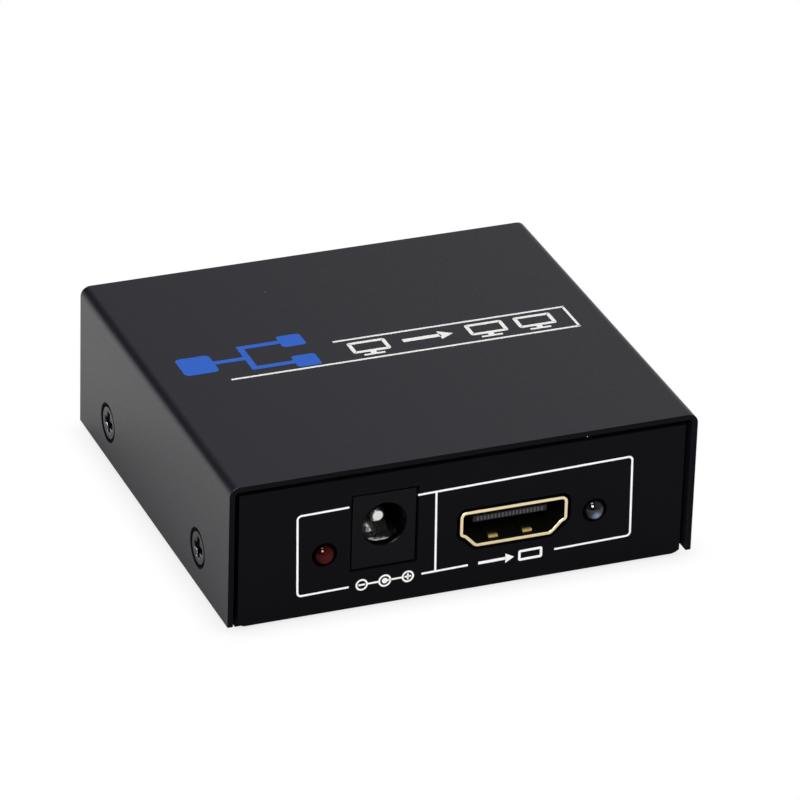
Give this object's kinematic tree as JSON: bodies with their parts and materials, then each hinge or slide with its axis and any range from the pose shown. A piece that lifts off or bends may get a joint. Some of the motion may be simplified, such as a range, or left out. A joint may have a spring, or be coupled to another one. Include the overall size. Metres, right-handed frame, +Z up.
{
  "type": "video signal splitter",
  "caption": "Small black steel box that copies one video input to its outputs, with a power jack, lamps and gold-rimmed sockets on its front and back panels.",
  "frame": {"origin": "middle of the underside, on the surface that the box stands on", "axes": "+X to the right seen from the input side, +Y from the input side to the output side, +Z up"},
  "size_m": [0.065, 0.0604, 0.0212],
  "materials": {
    "case_paint": "fine matt black powder coat",
    "screw_black": "black oxide",
    "board_green": "green solder mask",
    "bright_steel": "bright nickel plate",
    "black_plastic": "moulded, fine grain",
    "gold_shell": "thin gold plate",
    "gold_contact": "thin gold plate",
    "red_epoxy": "tinted epoxy",
    "clear_epoxy": "water-clear epoxy",
    "tinned_metal": "dull tin plate",
    "chip_black": "moulded epoxy",
    "crystal_steel": "drawn can",
    "can_aluminium": "bare drawn can",
    "ferrite_grey": "pressed ferrite",
    "fuse_green": "coated",
    "ceramic_tan": "fired ceramic"
  },
  "bodies": {
    "case": {"top_cover": "case_paint", "base_tray": "case_paint", "cover_screws": "screw_black", "circuit_board": "board_green", "board_standoffs": "bright_steel", "board_screws": "bright_steel", "input_socket_shell": "gold_shell", "input_socket_insulator": "black_plastic", "input_socket_contacts": "gold_contact", "output_1_socket_shell": "gold_shell", "output_1_socket_insulator": "black_plastic", "output_1_socket_contacts": "gold_contact", "output_2_socket_shell": "gold_shell", "output_2_socket_insulator": "black_plastic", "output_2_socket_contacts": "gold_contact", "power_jack_housing": "black_plastic", "power_jack_center_pin": "bright_steel", "power_jack_leaf_terminal": "bright_steel", "power_jack_switch_contact": "bright_steel", "power_lamp": "red_epoxy", "input_lamp": "clear_epoxy", "output_1_lamp": "clear_epoxy", "output_2_lamp": "clear_epoxy", "lamp_leads": "tinned_metal", "splitter_chip": "chip_black", "splitter_chip_pins": "tinned_metal", "controller_chip": "chip_black", "controller_chip_pins": "tinned_metal", "memory_chips": "chip_black", "memory_chip_pins": "tinned_metal", "voltage_regulators": "chip_black", "regulator_pins": "tinned_metal", "clock_crystal": "crystal_steel", "crystal_leads": "tinned_metal", "filter_capacitors": "can_aluminium", "capacitor_bases": "chip_black", "power_inductor": "ferrite_grey", "protection_diode": "chip_black", "diode_leads": "tinned_metal", "resettable_fuse": "fuse_green", "surge_arrays": "chip_black", "ceramic_capacitors": "ceramic_tan", "chip_resistors": "chip_black"},
    "leaf": {"power_jack_leaf": "bright_steel"}
  },
  "joints": [
    {"name": "leaf_flex", "type": "hinge", "parent": "case", "child": "leaf", "pos_m": [-0.011, -0.01715, 0.00815], "axis": [1, 0, 0], "range_deg": [0, 7.5], "stiffness_Nm_per_rad": 0.1}
  ]
}
